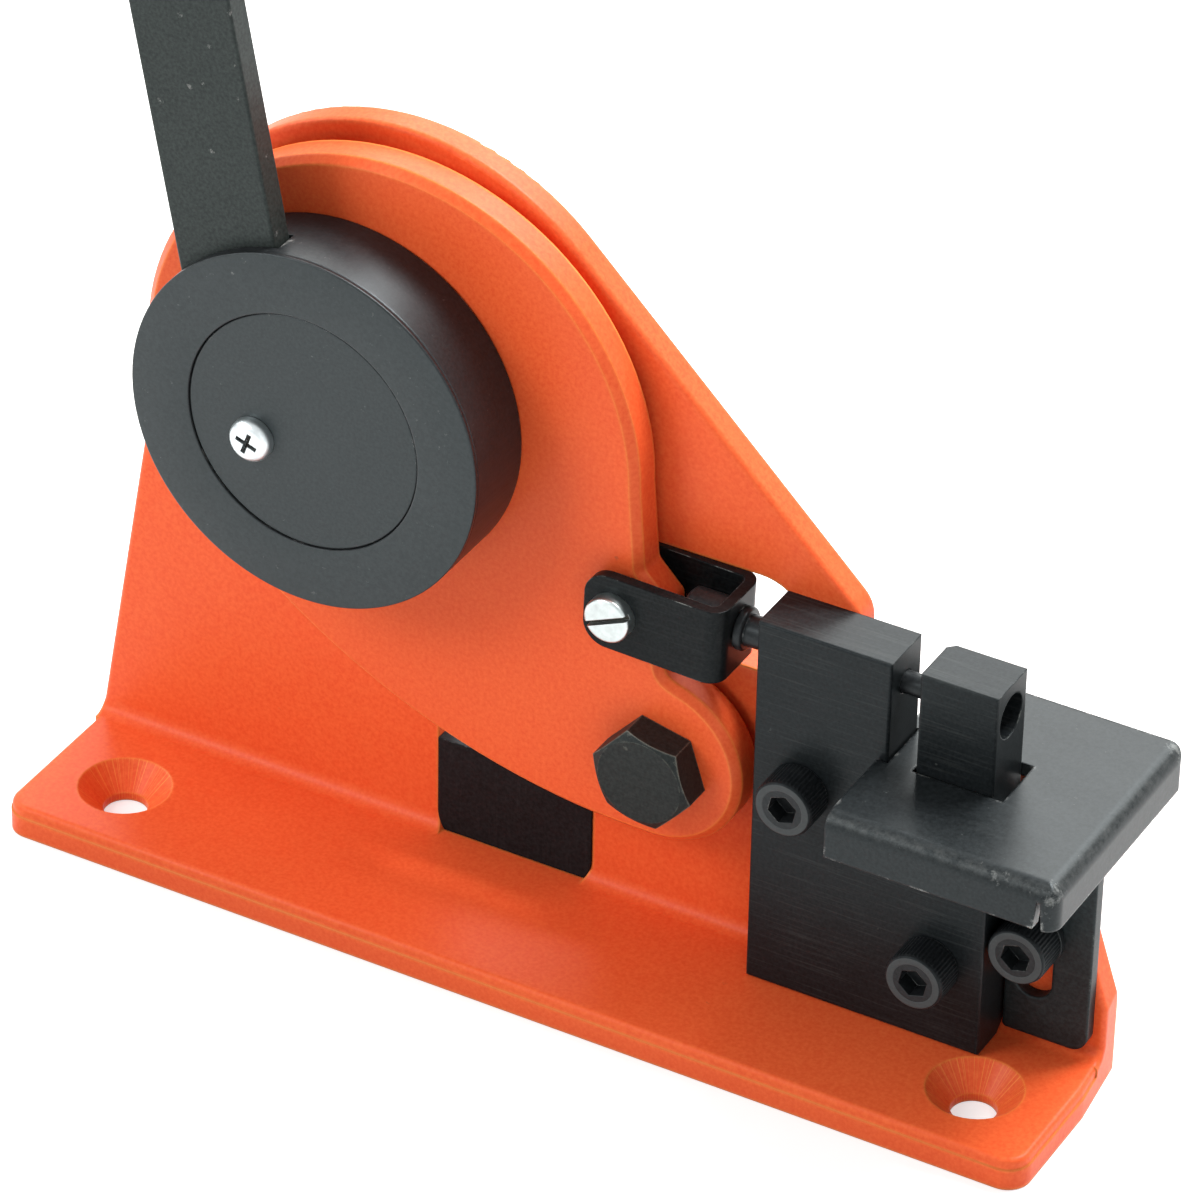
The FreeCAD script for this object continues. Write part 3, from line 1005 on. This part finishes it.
def block_screws():
    length = BLOCK_THICKNESS + WEB_THICKNESS - CAP_SCREW_END_RECESS
    first = cap_screw(BLOCK_SCREW_1_X, BLOCK_SCREW_1_Z, BLOCK_FACE_Y, length)
    second = cap_screw(BLOCK_SCREW_2_X, BLOCK_SCREW_2_Z, BLOCK_FACE_Y, length)
    return Part.Compound([first, second])


# ------------------------------------------------------------- work table
def table():
    """Folded sheet: top with lips at the front and right, cut out round the die post."""
    low = TABLE_TOP_Z - TABLE_LIP_DEPTH
    side = [(TABLE_FRONT_Y, low, 0), (TABLE_FRONT_Y, TABLE_TOP_Z, TABLE_BEND_R)]
    side += [(TABLE_BACK_Y, TABLE_TOP_Z, 0), (TABLE_BACK_Y, low, 0)]
    end = [(TABLE_LEFT_X, low, 0), (TABLE_LEFT_X, TABLE_TOP_Z, 0)]
    end += [(TABLE_RIGHT_X, TABLE_TOP_Z, TABLE_BEND_R), (TABLE_RIGHT_X, low, 0)]
    plan = [(TABLE_LEFT_X, TABLE_FRONT_Y, 0), (TABLE_RIGHT_X, TABLE_FRONT_Y, TABLE_BEND_R)]
    plan += [(TABLE_RIGHT_X, TABLE_BACK_Y, TABLE_BACK_CORNER_R)]
    plan += [(TABLE_LEFT_X, TABLE_BACK_Y, TABLE_BACK_CORNER_R)]
    across = plate_x(rounded_edges(side), TABLE_LEFT_X, TABLE_RIGHT_X)
    outer = across.common(plate_y(rounded_edges(end), TABLE_FRONT_Y, TABLE_BACK_Y))
    outer = outer.common(plate_z(rounded_edges(plan), low, TABLE_TOP_Z))
    inside = box(TABLE_LEFT_X - 1, TABLE_RIGHT_X - TABLE_SHEET, TABLE_FRONT_Y + TABLE_SHEET,
                 TABLE_BACK_Y + 1, low - 1, TABLE_UNDER_Z)
    shell = outer.cut(inside)
    mouth = TABLE_CORNER_SLIT / 2
    root = TABLE_CORNER_SLIT_ROOT / 2
    slit_x = TABLE_RIGHT_X - TABLE_SHEET - mouth
    slit_top = TABLE_TOP_Z - TABLE_BEND_R
    slit_sides = [(slit_x - mouth, low, 0), (slit_x + mouth, low, 0)]
    slit_sides += [(slit_x + root, slit_top, 0), (slit_x - root, slit_top, 0)]
    slit = plate_y(rounded_edges(slit_sides), TABLE_FRONT_Y - 1, TABLE_FRONT_Y + TABLE_SHEET)
    cutout = box(GAP_RIGHT_X - TABLE_CUTOUT_CLEARANCE, BLOCK_RIGHT_X + TABLE_CUTOUT_RIGHT_ROOM,
                 BLOCK_FACE_Y - TABLE_CUTOUT_CLEARANCE, WEB_FACE_Y + TABLE_CUTOUT_CLEARANCE,
                 low - 1, TABLE_TOP_Z + 1)
    neck = box(TABLE_LEFT_X - 1, TABLE_NECK_X, BLOCK_FACE_Y - TABLE_CUTOUT_CLEARANCE,
               WEB_FACE_Y + TABLE_CUTOUT_CLEARANCE, low - 1, TABLE_TOP_Z + 1)
    return shell.cut(slit).cut(cutout).cut(neck).removeSplitter()


def table_bracket():
    """Upright plate under the table, slotted so that the table can be set in height."""
    left = BLOCK_RIGHT_X + BRACKET_CLEARANCE
    corners = [(left, BRACKET_FOOT_Z, BRACKET_INNER_CORNER_R)]
    corners += [(BRACKET_RIGHT_X, BRACKET_FOOT_Z, BRACKET_CORNER_R)]
    corners += [(BRACKET_RIGHT_X, TABLE_UNDER_Z, 0), (left, TABLE_UNDER_Z, 0)]
    plate = plate_y(rounded_edges(corners), BRACKET_FACE_Y, WEB_FACE_Y)
    # The lower back edge is taken off, clear of the fillet at the foot of the web.
    relief_z = FLANGE_THICKNESS + WEB_FOOT_FILLET + FOOT_CLEARANCE
    relief = [(WEB_FACE_Y + 1, relief_z + 1, 0), (WEB_FACE_Y - relief_z, 0, 0), (WEB_FACE_Y + 1, 0, 0)]
    plate = plate.cut(plate_x(rounded_edges(relief), left - 1, BRACKET_RIGHT_X + 1))
    cut_right = BLOCK_RIGHT_X + TABLE_CUTOUT_RIGHT_ROOM
    notch_z = TABLE_UNDER_Z - TABLE_NOTCH_DEPTH
    notch = box(left - 1, cut_right, BRACKET_FACE_Y - 1, WEB_FACE_Y + 1, notch_z, TABLE_UNDER_Z + 1)
    low = TABLE_SCREW_Z - TABLE_RISE - TABLE_SLOT_SPARE
    high = TABLE_SCREW_Z + TABLE_SLOT_SPARE
    slot = slot_y(TABLE_SCREW_X, low, TABLE_SCREW_X, high, TABLE_SLOT_WIDTH,
                  BRACKET_FACE_Y - 1, WEB_FACE_Y + 1)
    return plate.cut(notch).cut(slot).removeSplitter()


def table_washer():
    return washer(TABLE_SCREW_X, TABLE_SCREW_Z, CAP_SCREW_D + 2 * SCREW_HOLE, TABLE_WASHER_D,
                  BRACKET_FACE_Y - FACE - TABLE_WASHER_THICKNESS, BRACKET_FACE_Y - FACE)


def table_screw():
    seat = BRACKET_FACE_Y - FACE - TABLE_WASHER_THICKNESS
    return cap_screw(TABLE_SCREW_X, TABLE_SCREW_Z, seat, WEB_BACK_Y - seat - CAP_SCREW_END_RECESS)


# ------------------------------------------------------------- build
NODES = {
    "base_casting": base_casting,
    "swing_arm": swing_arm,
    "eccentric": eccentric,
    "lever_hub": lever_hub,
    "lever_bar": lever_bar,
    "lever_pin": lever_pin,
    "pivot_shaft": pivot_shaft,
    "pivot_washer": pivot_washer,
    "pivot_nut": pivot_nut,
    "pivot_screw": pivot_screw,
    "arm_bolt": arm_bolt,
    "arm_bush": arm_bush,
    "arm_bolt_washer": arm_bolt_washer,
    "arm_bolt_nut": arm_bolt_nut,
    "clevis": clevis,
    "clevis_screw": clevis_screw,
    "clevis_nut": clevis_nut,
    "punch": punch,
    "punch_nut": punch_nut,
    "punch_block": punch_block,
    "die_bush": die_bush,
    "block_screws": block_screws,
    "table": table,
    "table_bracket": table_bracket,
    "table_washer": table_washer,
    "table_screw": table_screw,
    "upper_blade": upper_blade,
    "upper_blade_screws": upper_blade_screws,
    "lower_blade": lower_blade,
    "lower_blade_pins": lower_blade_pins,
}

for node_name, make in NODES.items():
    save(make(), node_name)
